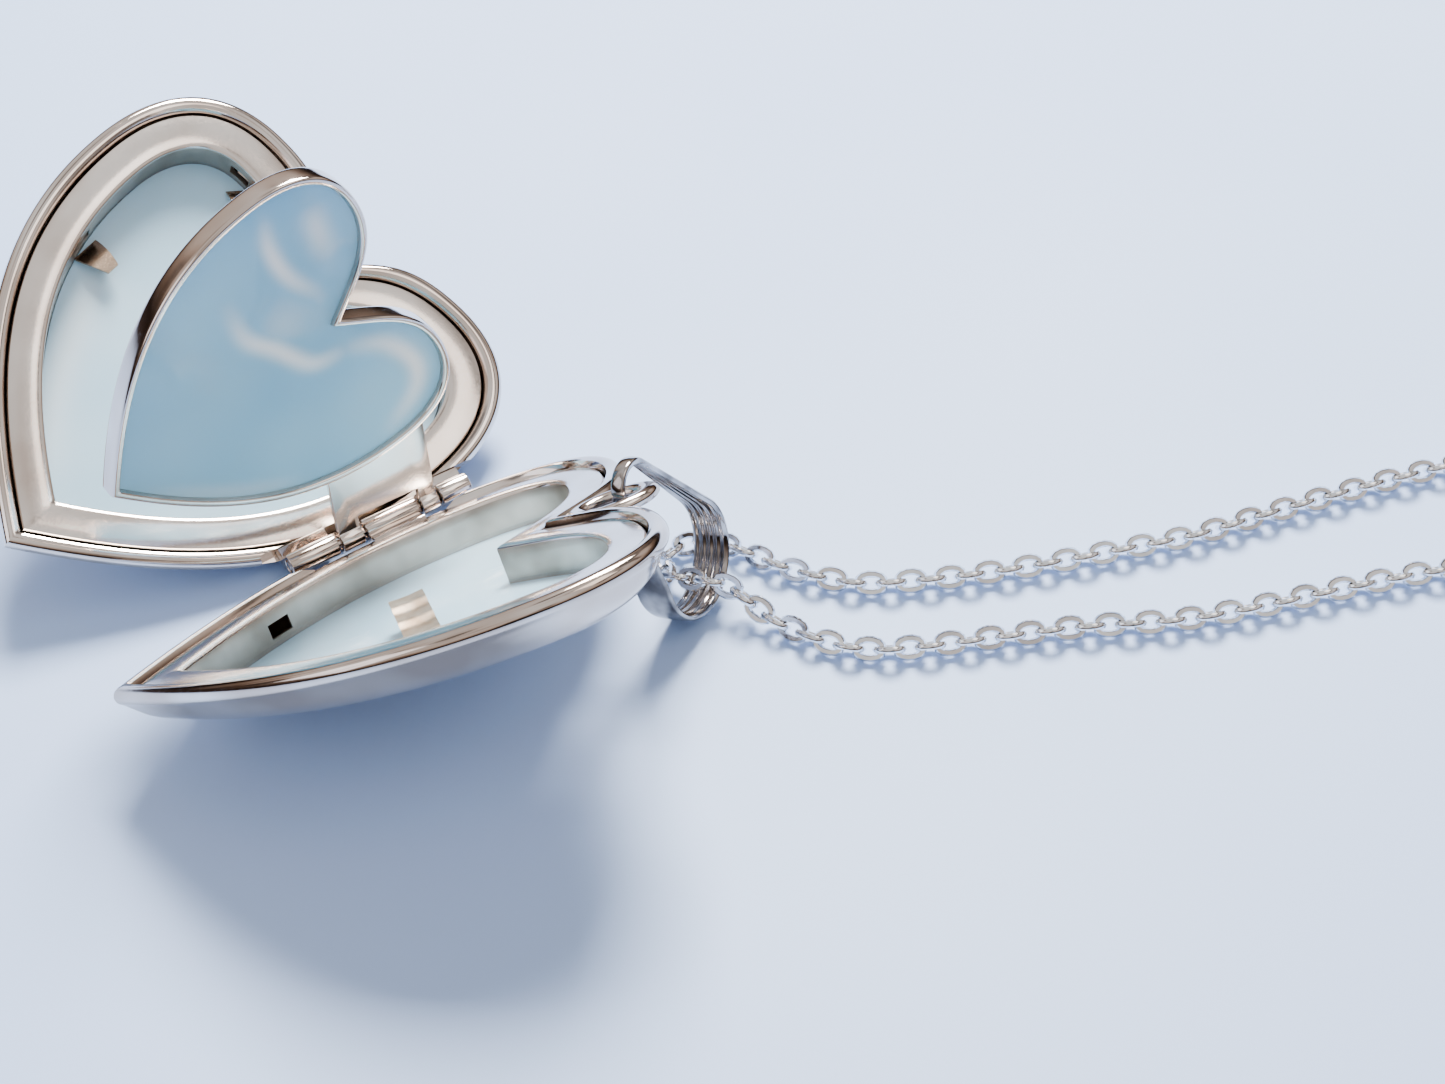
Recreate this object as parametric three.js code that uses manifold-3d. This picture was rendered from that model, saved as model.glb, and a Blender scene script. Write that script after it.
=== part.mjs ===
// Four-picture heart locket, lying open on its back with its chain.
// Millimetres, +Z up.  Each shell is drawn in its own heart frame:
// x across the heart, y from the tip to the lobes, n out of the open face.
import * as THREE from 'three';
import Module from 'manifold-3d';

const wasm = await Module();
wasm.setup();

// ---------------------------------------------------------------- dimensions
const heartWidth = 28;
const heartHeight = 28.5;
const cleftHeight = 24.4;
const cleftAngle = 0.7;
const lobeX = 7.2;
const widestHeight = 20.8;
const tipAngle = 0.98;
const outlineHalfCount = 34;

const hingeX = 13.08;
const hingeY = 15.5;
const flankAngle = THREE.MathUtils.degToRad(18.07);
const restLean = THREE.MathUtils.degToRad(32.36);
const leafAngle = THREE.MathUtils.degToRad(54);

const faceLevel = -0.15;
const skin = 0.35;
const linerTop = -0.5;
const linerThickness = 0.3;
const linerOuterInset = 1.12;
const apertureInset = 3.1;
const wellWall = 0.25;
const wellFloor = -2.6;
const windowTop = -2.3;
const windowThickness = 0.2;
const cardThickness = 0.15;

const barrelRadius = 0.65;
const boreRadius = 0.4;
const pinRadius = 0.28;
const frontNotch = [-6.3, 5.8];
const backNotch = [-7, 6.6];
const notchDepth = 1.25;
const notchFloor = -1.1;

const leafScale = 0.743;
const leafInset = 1.5;
const leafCleftDrop = 0.87;
const leafHalfThickness = 0.7;
const leafBand = 0.45;
const leafPlate = 0.2;

const chainWidth = 1.4;
const chainRadius = chainWidth / 2;

// ---------------------------------------------------------------- colours
const group = new THREE.Group();
const silver = { color: 0xd8d2cf, roughness: 0.12, metalness: 1 };
const satin = { color: 0xe4e2e2, roughness: 0.35, metalness: 1 };
const chainSilver = { color: 0xe6e8ec, roughness: 0.15, metalness: 1 };
const clearSheet = { color: 0xcfe6f2, roughness: 0.08, metalness: 0 };
const card = { color: 0xbfdcea, roughness: 0.7, metalness: 0 };

function addMesh(name, geometry, finish) {
  const mesh = new THREE.Mesh(geometry, new THREE.MeshStandardMaterial(finish));
  mesh.name = name;
  group.add(mesh);
  return mesh;
}

// ---------------------------------------------------------------- heart outline
function bezier(a, b, c, d, count, out) {
  for (let i = 0; i < count; i += 1) {
    const u = i / count;
    const v = 1 - u;
    const w = [v * v * v, 3 * v * v * u, 3 * v * u * u, u * u * u];
    out.push([
      w[0] * a[0] + w[1] * b[0] + w[2] * c[0] + w[3] * d[0],
      w[0] * a[1] + w[1] * b[1] + w[2] * c[1] + w[3] * d[1],
    ]);
  }
}

// Closed heart, a given distance inside the shell's edge; the same number of
// points at every inset, so outlines at different insets can be joined.
function heart(inset, cleftDrop = 0) {
  const cleft = [0, cleftHeight - 1.25 * inset - cleftDrop];
  const top = [lobeX, heartHeight - inset];
  const side = [heartWidth / 2 - inset, widestHeight];
  const tip = [0, inset / Math.sin(tipAngle)];
  const across = (side[0] - top[0]) / (heartWidth / 2 - lobeX);
  const down = (top[1] - side[1]) / (heartHeight - widestHeight);
  const flank = (side[1] - tip[1]) / widestHeight;
  const half = [];
  bezier(
    cleft,
    [3.1 * Math.sin(cleftAngle), cleft[1] + 3.1 * Math.cos(cleftAngle)],
    [top[0] - 4.4 + 0.3 * inset, top[1]],
    top, 8, half,
  );
  bezier(top, [top[0] + 4.5 * across, top[1]], [side[0], side[1] + 4.8 * down], side, 9, half);
  bezier(
    side,
    [side[0], side[1] - 10.2 * flank],
    [8 * flank * Math.sin(tipAngle), tip[1] + 8 * flank * Math.cos(tipAngle)],
    tip, outlineHalfCount - 17, half,
  );
  const full = half.slice();
  full.push(tip);
  for (let i = half.length - 1; i > 0; i -= 1) {
    full.push([-half[i][0], half[i][1]]);
  }
  return full;
}

// Heart shrunk about the middle, for the floor of a shell.
function shrunk(points, share) {
  return points.map(([x, y]) => [x * share, 15.5 + (y - 15.5) * share]);
}

// ---------------------------------------------------------------- frames
const axisX = new THREE.Vector3(1, 0, 0);
const backT = new THREE.Vector3(0, Math.cos(restLean), Math.sin(restLean));
const backN = new THREE.Vector3(0, -Math.sin(restLean), Math.cos(restLean));
const frontT = new THREE.Vector3(0, -Math.cos(restLean), Math.sin(restLean));
const frontN = new THREE.Vector3(0, Math.sin(restLean), Math.cos(restLean));
const leafT = backT.clone().multiplyScalar(Math.cos(leafAngle));
leafT.addScaledVector(backN, Math.sin(leafAngle));
const leafN = backN.clone().multiplyScalar(Math.cos(leafAngle));
leafN.addScaledVector(backT, -Math.sin(leafAngle));

// Hinge frame: s along the pin, t from the pin across the heart, n out of the face.
function frameMatrix(t, n) {
  return new THREE.Matrix4().makeBasis(axisX, t, n);
}
const backFrame = frameMatrix(backT, backN);
const frontFrame = frameMatrix(frontT, frontN);
const leafFrame = frameMatrix(leafT, leafN);

function toHinge([x, y]) {
  const dx = x - hingeX;
  const dy = y - hingeY;
  const s = dx * Math.sin(flankAngle) + dy * Math.cos(flankAngle);
  const t = -dx * Math.cos(flankAngle) + dy * Math.sin(flankAngle);
  return [s, t];
}

function toLeaf([x, y]) {
  const [s, t] = toHinge([x * leafScale, 16 + (y - 16) * leafScale]);
  return [s - 0.8, t + 0.45];
}

// ---------------------------------------------------------------- solids
// Signed volume of an indexed triangle list.
function volumeOf(positions, index) {
  let sum = 0;
  for (let i = 0; i < index.length; i += 3) {
    const [a, b, c] = [index[i], index[i + 1], index[i + 2]].map((k) => positions[k]);
    sum += a[0] * (b[1] * c[2] - b[2] * c[1]);
    sum += a[1] * (b[2] * c[0] - b[0] * c[2]);
    sum += a[2] * (b[0] * c[1] - b[1] * c[0]);
  }
  return sum / 6;
}

function solidFrom(positions, index) {
  if (volumeOf(positions, index) < 0) {
    for (let i = 0; i < index.length; i += 3) {
      [index[i + 1], index[i + 2]] = [index[i + 2], index[i + 1]];
    }
  }
  return wasm.Manifold.ofMesh(new wasm.Mesh({
    numProp: 3,
    vertProperties: new Float32Array(positions.flat()),
    triVerts: new Uint32Array(index),
  }));
}

// Joins outlines of equal length, each [points, level].  An open stack is
// closed with a middle point at both ends; a looped one joins last to first.
function stack(rings, looped, place) {
  const count = rings[0][0].length;
  const positions = [];
  for (const [points, level] of rings) {
    for (const p of points) {
      positions.push([...place(p), level]);
    }
  }
  const index = [];
  const last = looped ? rings.length : rings.length - 1;
  for (let r = 0; r < last; r += 1) {
    const lower = r * count;
    const upper = ((r + 1) % rings.length) * count;
    for (let i = 0; i < count; i += 1) {
      const j = (i + 1) % count;
      index.push(lower + i, lower + j, upper + j, lower + i, upper + j, upper + i);
    }
  }
  if (!looped) {
    for (const r of [0, rings.length - 1]) {
      const middle = positions.length;
      positions.push([...place([0, 15.5]), rings[r][1]]);
      for (let i = 0; i < count; i += 1) {
        const j = (i + 1) % count;
        const pair = r === 0 ? [r * count + j, r * count + i] : [r * count + i, r * count + j];
        index.push(middle, ...pair);
      }
    }
  }
  return solidFrom(positions, index);
}

function fromGeometry(source) {
  const geometry = source.index ? source.toNonIndexed() : source;
  const at = geometry.getAttribute('position');
  const keys = new Map();
  const positions = [];
  const index = [];
  for (let i = 0; i < at.count; i += 1) {
    const p = [at.getX(i), at.getY(i), at.getZ(i)];
    const key = p.map((v) => Math.round(v * 1e5)).join();
    if (!keys.has(key)) {
      keys.set(key, positions.length);
      positions.push(p);
    }
    index.push(keys.get(key));
  }
  const kept = [];
  for (let i = 0; i < index.length; i += 3) {
    const [a, b, c] = index.slice(i, i + 3);
    if (a !== b && b !== c && a !== c) {
      kept.push(a, b, c);
    }
  }
  return solidFrom(positions, kept);
}

function toGeometry(solid) {
  const mesh = solid.getMesh();
  const geometry = new THREE.BufferGeometry();
  const points = [];
  for (let i = 0; i < mesh.vertProperties.length; i += mesh.numProp) {
    points.push(...mesh.vertProperties.slice(i, i + 3));
  }
  geometry.setAttribute('position', new THREE.BufferAttribute(new Float32Array(points), 3));
  geometry.setIndex(new THREE.BufferAttribute(new Uint32Array(mesh.triVerts), 1));
  return geometry;
}

// Puts a solid drawn in a hinge frame into the rest pose.
function placed(solid, frame) {
  const geometry = toGeometry(solid);
  geometry.applyMatrix4(frame);
  return toGeometry(fromGeometry(geometry));
}

function box(s0, s1, t0, t1, n0, n1) {
  const geometry = new THREE.BoxGeometry(s1 - s0, t1 - t0, n1 - n0);
  geometry.translate((s0 + s1) / 2, (t0 + t1) / 2, (n0 + n1) / 2);
  return fromGeometry(geometry);
}

// Round bar along s, centred on t = n = 0.
function bar(s0, s1, radius, sides = 20) {
  const geometry = new THREE.CylinderGeometry(radius, radius, s1 - s0, sides);
  geometry.rotateZ(Math.PI / 2);
  geometry.translate((s0 + s1) / 2, 0, 0);
  return fromGeometry(geometry);
}

// ---------------------------------------------------------------- shells
// Half section from the middle of the back, round the bead, to the cavity.
const shellOutside = [
  [4.5, -3.5], [3, -3.15], [2, -2.75], [1.2, -2.2], [0.7, -1.65], [0.4, -1.2],
  [0.08, -1], [0, -0.65], [0.12, -0.35], [0.4, faceLevel],
];
const shellInside = [
  [0.85, faceLevel], [1.02, -0.5], [1.02, -1.45], [1.45, -1.95], [2.1, -2.38],
  [3.1, -2.86], [4.5, -3.5 + skin],
];

function shellSolid() {
  const rings = [];
  const middle = heart(4.5);
  rings.push([shrunk(middle, 0.35), -3.86]);
  rings.push([shrunk(middle, 0.7), -3.75]);
  for (const [inset, level] of shellOutside) {
    rings.push([heart(inset), level]);
  }
  for (const [inset, level] of shellInside) {
    rings.push([heart(inset), level]);
  }
  rings.push([shrunk(middle, 0.7), -3.75 + skin]);
  rings.push([shrunk(middle, 0.35), -3.86 + skin]);
  return stack(rings, false, toHinge);
}

function hingeNotch([start, end]) {
  return box(start, end, -2, notchDepth, notchFloor, 1.2);
}

function linerSolid() {
  const under = linerTop - linerThickness;
  return stack([
    [heart(linerOuterInset), linerTop],
    [heart(apertureInset), linerTop],
    [heart(apertureInset), wellFloor],
    [heart(apertureInset - wellWall), wellFloor],
    [heart(apertureInset - wellWall), under],
    [heart(linerOuterInset), under],
  ], true, toHinge);
}

function sheetSolid(inset, top, thickness) {
  return stack([[heart(inset), top], [heart(inset), top - thickness]], false, toHinge);
}

const frontShell = shellSolid().subtract(hingeNotch(frontNotch));
const backShell = shellSolid().subtract(hingeNotch(backNotch));
const windowSheet = sheetSolid(apertureInset + 0.05, windowTop, windowThickness);
const cardTop = windowTop - windowThickness - 0.02;
const photoCard = sheetSolid(apertureInset + 0.05, cardTop, cardThickness);

// Notches punched low in a well wall, where tabs are bent out to hold a card.
function tabNotch(s, t, half) {
  return box(s - half, s + half, t - half, t + half, -2.1, -1.3);
}
const backLiner = linerSolid().subtract(hingeNotch(backNotch))
  .subtract(tabNotch(2.9, 22.4, 0.65)).subtract(tabNotch(-6.9, 22.4, 0.65));
const frontLiner = linerSolid().subtract(hingeNotch(frontNotch)).subtract(tabNotch(-8.8, 4.7, 0.7));

addMesh('front_shell', placed(frontShell, frontFrame), silver);
addMesh('front_liner', placed(frontLiner, frontFrame), satin);
addMesh('front_window', placed(windowSheet, frontFrame), clearSheet);
addMesh('front_photo_card', placed(photoCard, frontFrame), card);
addMesh('back_shell', placed(backShell, backFrame), silver);
addMesh('back_liner', placed(backLiner, backFrame), satin);
addMesh('back_window', placed(windowSheet, backFrame), clearSheet);
addMesh('back_photo_card', placed(photoCard, backFrame), card);

// ---------------------------------------------------------------- spring tab
// Stepped strip lying on the front window; it rises towards the hinge.
const tabWidth = 1.85;
const tabStart = [-7.3, 20.1];
const tabTurn = THREE.MathUtils.degToRad(15.5);
const tabGauge = 0.22;
const tabSteps = [
  [0, 0], [1.9, 0], [2.3, 0.4], [3.9, 0.4],
  [4.3, 0.75], [5.7, 0.75], [6.1, 1.1], [7.5, 1.1],
];

function tabSolid() {
  const profile = new THREE.Shape();
  profile.moveTo(...tabSteps[0]);
  for (const [x, y] of tabSteps.slice(1)) {
    profile.lineTo(x, y);
  }
  for (const [x, y] of tabSteps.slice().reverse()) {
    profile.lineTo(x, y + tabGauge);
  }
  const geometry = new THREE.ExtrudeGeometry(profile, { depth: tabWidth, bevelEnabled: false });
  geometry.rotateX(Math.PI / 2);
  geometry.rotateZ(tabTurn - Math.PI / 2);
  geometry.translate(tabStart[0], tabStart[1], windowTop + 0.03);
  return fromGeometry(geometry);
}
addMesh('front_spring_tab', placed(tabSolid(), frontFrame), satin);

// ---------------------------------------------------------------- hinge
// One pin through five barrels: back shell, leaf, front shell, leaf, back shell.
const backLeft = [-5.9, -3];
const leafLeft = [-2.75, -1.45];
const frontMiddle = [-1.2, 2.05];
const leafRight = [2.3, 3.3];
const backRight = [3.55, 5.4];
const bore = bar(frontNotch[0] - 1, frontNotch[1] + 1, boreRadius);

function shellKnuckle([s0, s1]) {
  const foot = box(s0, s1, 0.15, notchDepth - 0.02, notchFloor + 0.02, -0.3);
  return bar(s0, s1, barrelRadius).add(foot).subtract(bore);
}
addMesh('front_knuckle', placed(shellKnuckle(frontMiddle), frontFrame), silver);
addMesh('back_knuckle_left', placed(shellKnuckle(backLeft), backFrame), silver);
addMesh('back_knuckle_right', placed(shellKnuckle(backRight), backFrame), silver);
addMesh('hinge_pin', placed(bar(backLeft[0], backRight[1], pinRadius, 12), backFrame), silver);

// ---------------------------------------------------------------- leaf
// Both pictures' frame; its cleft is cut deeper, to pass the wells' clefts.
function leafHeart(inset) {
  return heart(inset, leafCleftDrop);
}

function leafSheet(inset, top, bottom) {
  return stack([[leafHeart(inset), top], [leafHeart(inset), bottom]], false, toLeaf);
}
const bandInset = leafInset + leafBand / leafScale;
const leafHole = leafSheet(bandInset, leafHalfThickness + 1, -leafHalfThickness - 1);
const leafBlank = stack([
  [leafHeart(leafInset + 0.3), leafHalfThickness],
  [leafHeart(leafInset), leafHalfThickness - 0.15],
  [leafHeart(leafInset), -leafHalfThickness + 0.15],
  [leafHeart(leafInset + 0.3), -leafHalfThickness],
], false, toLeaf);
const leafSheetInset = bandInset + 0.06;
addMesh('leaf_frame', placed(leafBlank.subtract(leafHole), leafFrame), silver);
addMesh('leaf_window_front', placed(leafSheet(leafSheetInset, 0.62, 0.42), leafFrame), clearSheet);
addMesh('leaf_window_back', placed(leafSheet(leafSheetInset, -0.42, -0.62), leafFrame), clearSheet);
addMesh('leaf_photo_card', placed(leafSheet(leafSheetInset, 0.38, -0.38), leafFrame), card);

function leafPlateSolid() {
  const flat = box(leafLeft[0], leafRight[1], 0.2, 5.5, -leafPlate, leafPlate);
  const slot = box(frontMiddle[0] - 0.25, frontMiddle[1] + 0.25, -1, 1.35, -1, 1);
  const left = bar(leafLeft[0], leafLeft[1], barrelRadius);
  const right = bar(leafRight[0], leafRight[1], barrelRadius);
  return flat.subtract(slot).add(left).add(right).subtract(bore).subtract(leafBlank);
}
addMesh('leaf_hinge_plate', placed(leafPlateSolid(), leafFrame), silver);

// ---------------------------------------------------------------- ring
// Flat oval ring fixed in the cleft of the front shell.
const ringRadius = 1.4;
const ringThickness = 0.38;
const ringStretch = 1.45;
const ringHeight = 26.85;
const ringLevel = -0.6;

function ringSolid() {
  const geometry = new THREE.TorusGeometry(ringRadius, ringThickness, 8, 24);
  geometry.scale(1, ringStretch, 1);
  geometry.translate(0, ringHeight, 0);
  const at = geometry.getAttribute('position');
  for (let i = 0; i < at.count; i += 1) {
    const [s, t] = toHinge([at.getX(i), at.getY(i)]);
    at.setXYZ(i, s, t, at.getZ(i) + ringLevel);
  }
  return fromGeometry(geometry).subtract(frontShell);
}
addMesh('bail_ring', placed(ringSolid(), frontFrame), silver);

// ---------------------------------------------------------------- bail
// Folded ribbon loop through the ring; it stands on the table, leaning.
const bailTop = new THREE.Vector3(8.35, -12.9, 9.95);
const bailDown = new THREE.Vector3(0.276, -0.134, -0.952).normalize();
const bailAcross = new THREE.Vector3(0.863, 0.505, 0).normalize();
bailAcross.addScaledVector(bailDown, -bailAcross.dot(bailDown)).normalize();
const bailAxis = bailAcross.clone().cross(bailDown).normalize();
const bailThickness = 0.4;
const bailWidth = 2.2;
const bailTopWidth = 0.8;
const bailUpper = { across: -0.8, down: 1.5, radius: 1.5 };
const bailLower = { across: 0, down: 8.1, radius: 3.4 };

// Outline round two circles, as [across, down] points.
function bailOutline(inward) {
  const dx = bailLower.across - bailUpper.across;
  const dy = bailLower.down - bailUpper.down;
  const heading = Math.atan2(dy, dx);
  const side = Math.acos((bailUpper.radius - bailLower.radius) / Math.hypot(dx, dy));
  const points = [];
  const upperCount = 10;
  const lowerCount = 22;
  for (let i = 0; i <= lowerCount; i += 1) {
    const a = heading - side + (2 * side * i) / lowerCount;
    const r = bailLower.radius - inward;
    points.push([bailLower.across + r * Math.cos(a), bailLower.down + r * Math.sin(a)]);
  }
  for (let i = 0; i <= upperCount; i += 1) {
    const a = heading + side + ((2 * Math.PI - 2 * side) * i) / upperCount;
    const r = bailUpper.radius - inward;
    points.push([bailUpper.across + r * Math.cos(a), bailUpper.down + r * Math.sin(a)]);
  }
  return points.map(([x, y]) => new THREE.Vector2(x, y));
}

function bailSolid() {
  const shape = new THREE.Shape(bailOutline(0));
  shape.holes.push(new THREE.Path(bailOutline(bailThickness)));
  const geometry = new THREE.ExtrudeGeometry(shape, { depth: bailWidth, bevelEnabled: false });
  const at = geometry.getAttribute('position');
  for (let i = 0; i < at.count; i += 1) {
    const share = THREE.MathUtils.clamp((at.getY(i) - 1) / 6, 0, 1);
    const width = THREE.MathUtils.lerp(bailTopWidth / bailWidth, 1, share);
    at.setZ(i, (at.getZ(i) - bailWidth / 2) * width);
  }
  const frame = new THREE.Matrix4().makeBasis(bailAcross, bailDown, bailAxis);
  frame.setPosition(bailTop);
  geometry.applyMatrix4(frame);
  return fromGeometry(geometry);
}
addMesh('bail', toGeometry(bailSolid()), silver);

// ---------------------------------------------------------------- table level
const solidPart = new THREE.Box3().setFromObject(group);
const table = solidPart.min.z;
const chainLevel = table + chainRadius + 0.02;

// ---------------------------------------------------------------- chain
// Fine cable chain: a plain tube where it lies loose, one ring for the coil.
const coilCentre = [50.3, -49.2];
const coilRadii = [8.3, 6.75, 5.2];
const coilPitch = 1.45;

function tube(points) {
  const path = new THREE.CatmullRomCurve3(points.map((p) => new THREE.Vector3(...p)));
  const section = new THREE.Shape();
  for (let i = 0; i < 8; i += 1) {
    const a = (i * Math.PI) / 4 + Math.PI / 8;
    const [x, y] = [chainRadius * Math.cos(a), chainRadius * Math.sin(a)];
    if (i === 0) {
      section.moveTo(x, y);
    } else {
      section.lineTo(x, y);
    }
  }
  const steps = Math.max(4, Math.round(path.getLength() / (2 * chainWidth)));
  const geometry = new THREE.ExtrudeGeometry(section, { steps, extrudePath: path });
  return toGeometry(fromGeometry(geometry));
}

const chainLongRoute = [
  [10.75, -13, chainLevel + 0.55],
  [11.2, -13.9, chainLevel + 0.8],
  [11.75, -14.85, chainLevel + 1.05],
  [12.3, -15.8, chainLevel + 1.1],
  [12.8, -16.9, chainLevel + 0.65],
  [13.3, -18.3, chainLevel + 0.15],
  [14.1, -20.1, chainLevel],
  [15.1, -21.9, chainLevel],
  [16.6, -23.4, chainLevel],
  [18.4, -24.5, chainLevel],
  [22.2, -26.4, chainLevel],
  [26.2, -28.4, chainLevel],
  [31, -31.2, chainLevel],
  [35, -32.9, chainLevel],
  [39.2, -34.4, chainLevel],
  [44, -36.3, chainLevel],
  [49.9, -39.2, chainLevel],
];
const chainShortRoute = [
  [10.6, -12.35, chainLevel + 0.35],
  [10.95, -11.45, chainLevel + 0.1],
  [12, -10.85, chainLevel],
  [13.35, -10.95, chainLevel],
  [14.5, -11.9, chainLevel],
  [15.3, -13.4, chainLevel],
  [16.1, -15.2, chainLevel],
  [17.35, -17.2, chainLevel],
  [18.9, -18.95, chainLevel],
  [20.5, -20, chainLevel],
  [24, -21.9, chainLevel],
  [28, -23.7, chainLevel],
  [31.8, -25.2, chainLevel],
  [35.8, -26.7, chainLevel],
  [39.8, -27.7, chainLevel],
  [44, -28.8, chainLevel],
  [48.2, -30, chainLevel],
  [52.5, -31.4, chainLevel],
  [56.5, -33.2, chainLevel],
  [59.6, -35.4, chainLevel],
];
const chainTailRoute = [
  [59.9, -52, chainLevel + 0.95],
  [60.7, -53.3, chainLevel + 0.5],
  [61.5, -54.5, chainLevel + 0.2],
  [62.3, -55.7, chainLevel + 0.1],
];

addMesh('chain_long', tube(chainLongRoute), chainSilver);
addMesh('chain_short', tube(chainShortRoute), chainSilver);
addMesh('chain_tail', tube(chainTailRoute), chainSilver);

function coilGeometry() {
  const inner = coilRadii[2] - chainRadius;
  const outer = coilRadii[0] + chainRadius - 0.15;
  const top = 2 * chainRadius + coilPitch;
  const geometry = new THREE.LatheGeometry([
    new THREE.Vector2(inner, 0),
    new THREE.Vector2(outer, 0),
    new THREE.Vector2(outer, top),
    new THREE.Vector2(inner, top),
    new THREE.Vector2(inner, 0),
  ], 24);
  geometry.rotateX(Math.PI / 2);
  geometry.translate(coilCentre[0], coilCentre[1], table + 0.02);
  return toGeometry(fromGeometry(geometry));
}
addMesh('chain_coil', coilGeometry(), chainSilver);

// ---------------------------------------------------------------- clasp
// Lobster clasp: hooked body, sprung lever on a rivet, ring at its tail.
const claspTail = new THREE.Vector3(63.1, -57.1, table + 0.95);
const claspTurn = THREE.MathUtils.degToRad(-60);
const claspHalf = 0.9;

function flat(points, holes, z0, z1) {
  const shape = new THREE.Shape(points.map(([x, y]) => new THREE.Vector2(x, y)));
  for (const hole of holes) {
    shape.holes.push(new THREE.Path(hole.map(([x, y]) => new THREE.Vector2(x, y))));
  }
  const geometry = new THREE.ExtrudeGeometry(shape, { depth: z1 - z0, bevelEnabled: false });
  geometry.translate(0, 0, z0);
  return fromGeometry(geometry);
}

// Outline round two circles on the clasp's middle line.
function pod(x0, r0, x1, r1, count) {
  const side = Math.acos((r0 - r1) / (x1 - x0));
  const points = [];
  for (let i = 0; i <= count; i += 1) {
    const a = -side + (2 * side * i) / count;
    points.push([x1 + r1 * Math.cos(a), r1 * Math.sin(a)]);
  }
  for (let i = 0; i <= count; i += 1) {
    const a = side + ((2 * Math.PI - 2 * side) * i) / count;
    points.push([x0 + r0 * Math.cos(a), r0 * Math.sin(a)]);
  }
  return points;
}

const claspPivot = [3.5, 0.8];
const leverOutline = [
  [2.95, 0.55], [3.1, 1.25], [3.9, 2.2], [4.1, 2.95], [4.8, 2.95], [5, 2.3], [6.4, 2.4],
  [7.75, 2.2], [7.6, 1.65], [6.4, 1.75], [5.1, 1.6], [4.35, 1.05], [4, 0.4], [3.4, 0.2],
];

function rivet(radius, half) {
  const geometry = new THREE.CylinderGeometry(radius, radius, 2 * half, 12);
  geometry.rotateX(Math.PI / 2);
  geometry.translate(claspPivot[0], claspPivot[1], 0);
  return fromGeometry(geometry);
}

function claspPlaced(solid) {
  const geometry = toGeometry(solid);
  geometry.rotateZ(claspTurn);
  geometry.translate(claspTail.x, claspTail.y, claspTail.z);
  return toGeometry(fromGeometry(geometry));
}

const claspShell = flat(pod(2.6, 1.5, 7, 2.5, 14), [pod(5.1, 0.7, 7, 1.5, 10)], -claspHalf, claspHalf);
const claspMouth = box(4.75, 8, 0.9, 4, -2, 2);
const claspSlot = box(2.4, 5.7, -0.1, 4, -0.5, 0.5);
const claspBody = claspShell.subtract(claspMouth).subtract(claspSlot).subtract(rivet(0.4, 2));
const claspLever = flat(leverOutline, [], -0.32, 0.32).subtract(rivet(0.4, 2));

function flatRing(radius, thickness, x, y) {
  const geometry = new THREE.TorusGeometry(radius, thickness, 8, 18);
  geometry.translate(x, y, 0);
  return fromGeometry(geometry);
}
addMesh('clasp_body', claspPlaced(claspBody), silver);
addMesh('clasp_lever', claspPlaced(claspLever), silver);
addMesh('clasp_rivet', claspPlaced(rivet(0.3, claspHalf)), silver);
addMesh('clasp_ring', claspPlaced(flatRing(1.05, 0.3, 0.35, 0).subtract(claspShell)), silver);

const endRing = toGeometry(flatRing(1.6, 0.35, 0, 0));
endRing.translate(61.4, -37, table + 0.37);
addMesh('end_ring', endRing, silver);

// ---------------------------------------------------------------- rest place
// Middle of the locket's footprint at the origin, its lowest point on the table.
const middle = solidPart.getCenter(new THREE.Vector3());
for (const mesh of group.children) {
  mesh.geometry.translate(-middle.x, -middle.y, -table);
}

export default group;
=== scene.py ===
# %% [markdown]
# # A heart locket and its chain
# The locket lies open on a pale table.  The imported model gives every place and
# size; this script gives the looks.  Lengths are worked out in millimetres, as a
# jeweller's drawing would have them, and turned to metres when a mesh is made.

# %% The frame
import math

import bmesh
import bpy
import numpy as np
from mathutils import Matrix, Vector


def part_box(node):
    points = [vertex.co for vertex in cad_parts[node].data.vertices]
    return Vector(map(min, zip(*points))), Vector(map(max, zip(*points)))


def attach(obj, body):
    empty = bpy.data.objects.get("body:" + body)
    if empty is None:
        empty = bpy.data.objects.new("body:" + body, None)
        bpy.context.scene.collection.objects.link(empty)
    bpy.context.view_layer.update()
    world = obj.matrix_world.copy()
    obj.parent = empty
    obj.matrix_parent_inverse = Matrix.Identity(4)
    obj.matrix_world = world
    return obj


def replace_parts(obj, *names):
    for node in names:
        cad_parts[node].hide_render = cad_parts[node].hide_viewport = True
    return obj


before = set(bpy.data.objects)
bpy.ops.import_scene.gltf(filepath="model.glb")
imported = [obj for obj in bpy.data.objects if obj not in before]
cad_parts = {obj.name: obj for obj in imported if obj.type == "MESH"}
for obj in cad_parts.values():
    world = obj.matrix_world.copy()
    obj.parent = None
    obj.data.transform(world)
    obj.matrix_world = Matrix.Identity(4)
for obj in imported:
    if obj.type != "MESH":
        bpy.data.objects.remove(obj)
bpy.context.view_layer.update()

# %% [markdown]
# ## Where the hinge is
# Everything on the locket is measured from its hinge pin.  The middle of the pin's box,
# moved 0.25 mm along the pin, gives the point that all drawings start from; the pin lies along x.

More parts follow.
